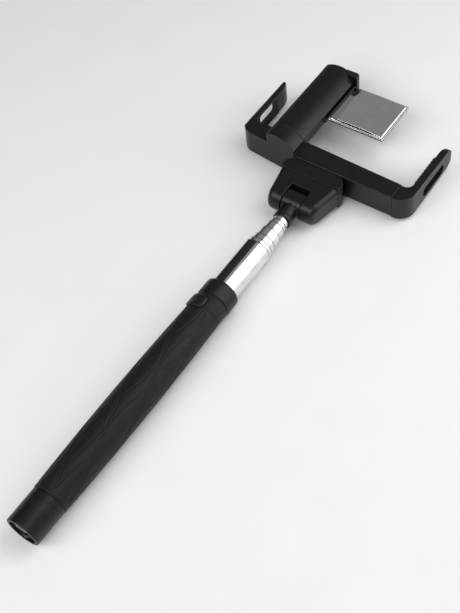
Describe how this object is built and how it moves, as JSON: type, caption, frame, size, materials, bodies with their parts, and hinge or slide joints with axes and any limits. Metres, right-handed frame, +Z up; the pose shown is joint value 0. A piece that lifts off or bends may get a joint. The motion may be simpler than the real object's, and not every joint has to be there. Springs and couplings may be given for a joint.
{
  "type": "telescopic selfie stick",
  "caption": "Telescopic selfie stick with a contoured grip, a nested tube pole, a tilting spring phone clamp and a folding convex mirror.",
  "frame": {"origin": "bottom centre of the whole object's box, on the surface that the stick lies on", "axes": "+Y along the pole from the end cap to the head, +X along the clamp's crossbar towards the sliding jaw, +Z up"},
  "size_m": [0.1396, 0.4032, 0.0331],
  "materials": {
    "grip_black": "matte, engraved",
    "cap_black": "satin",
    "steel_tube": "bright polished",
    "film": "clear glossy film",
    "head_black": "satin",
    "core_black": "matte",
    "button_black": "satin",
    "ring_black": "satin",
    "pad_rubber": "matte",
    "sleeve_nylon": "matte",
    "plated_steel": "satin",
    "bolt_steel": "satin",
    "board_green": "matte",
    "cell_wrap": "glossy",
    "mirror_silver": "convex mirror"
  },
  "bodies": {
    "handle": {"end_cap": "cap_black", "grip_sleeve": "grip_black", "grip_collar": "cap_black", "handle_core": "core_black", "label_film": "film", "strap_eyelet": "core_black", "usb_socket": "plated_steel", "charge_board": "board_green", "battery_cell": "cell_wrap", "button_board": "board_green", "button_switch": "plated_steel", "pole_tube_1": "steel_tube"},
    "section_2": {"pole_tube_2": "steel_tube", "friction_sleeve_2": "sleeve_nylon"},
    "section_3": {"pole_tube_3": "steel_tube", "friction_sleeve_3": "sleeve_nylon"},
    "section_4": {"pole_tube_4": "steel_tube", "friction_sleeve_4": "sleeve_nylon"},
    "section_5": {"pole_tube_5": "steel_tube", "friction_sleeve_5": "sleeve_nylon"},
    "section_6": {"pole_tube_6": "steel_tube", "friction_sleeve_6": "sleeve_nylon"},
    "section_7": {"pole_tube_7": "steel_tube", "friction_sleeve_7": "sleeve_nylon", "top_ring": "ring_black"},
    "neck": {"tilt_knuckle": "head_black"},
    "clamp": {"hinge_housing": "head_black", "hinge_bolt": "bolt_steel", "hinge_nut": "plated_steel", "hinge_washers": "plated_steel", "beam_saddle": "head_black", "saddle_screws": "bolt_steel", "beam_housing": "head_black", "fixed_jaw": "head_black", "fixed_jaw_pad": "pad_rubber", "mirror_cover": "head_black", "cover_end_cap": "head_black", "cover_base": "head_black", "cover_screws": "bolt_steel", "mirror_pin": "plated_steel"},
    "jaw": {"sliding_jaw": "head_black", "sliding_jaw_pad": "pad_rubber", "guide_rods": "plated_steel", "rod_end_plate": "plated_steel", "clamp_springs": "plated_steel"},
    "mirror": {"mirror_frame": "head_black", "mirror_plate": "mirror_silver"},
    "button": {"shutter_button": "button_black"}
  },
  "joints": [
    {"name": "section_2_slide", "type": "slide", "parent": "handle", "child": "section_2", "axis": [0, 1, 0], "range_m": [0, 0.1322]},
    {"name": "section_3_slide", "type": "slide", "parent": "section_2", "child": "section_3", "axis": [0, 1, 0], "range_m": [0, 0.1334]},
    {"name": "section_4_slide", "type": "slide", "parent": "section_3", "child": "section_4", "axis": [0, 1, 0], "range_m": [0, 0.1355]},
    {"name": "section_5_slide", "type": "slide", "parent": "section_4", "child": "section_5", "axis": [0, 1, 0], "range_m": [0, 0.1407]},
    {"name": "section_6_slide", "type": "slide", "parent": "section_5", "child": "section_6", "axis": [0, 1, 0], "range_m": [0, 0.1447]},
    {"name": "section_7_slide", "type": "slide", "parent": "section_6", "child": "section_7", "axis": [0, 1, 0], "range_m": [0, 0.1455]},
    {"name": "neck_swivel", "type": "hinge", "parent": "section_7", "child": "neck", "pos_m": [0, 0.0724, 0.013], "axis": [0, 1, 0], "range_deg": [-180, 180]},
    {"name": "clamp_tilt", "type": "hinge", "parent": "neck", "child": "clamp", "pos_m": [0, 0.0852, 0.013], "axis": [1, 0, 0], "range_deg": [-80, 80]},
    {"name": "jaw_slide", "type": "slide", "parent": "clamp", "child": "jaw", "axis": [1, 0, 0], "range_m": [0, 0.022], "stiffness_N_per_m": 160, "springref_m": -0.02, "deforming": ["clamp_springs"]},
    {"name": "mirror_hinge", "type": "hinge", "parent": "clamp", "child": "mirror", "pos_m": [-0.0192, 0.1784, 0.0227], "axis": [0, -1, 0], "range_deg": [0, 86]},
    {"name": "button_press", "type": "slide", "parent": "handle", "child": "button", "axis": [0.5, 0, -0.866], "range_m": [0, 0.00035], "stiffness_N_per_m": 900, "springref_m": -0.0004}
  ]
}
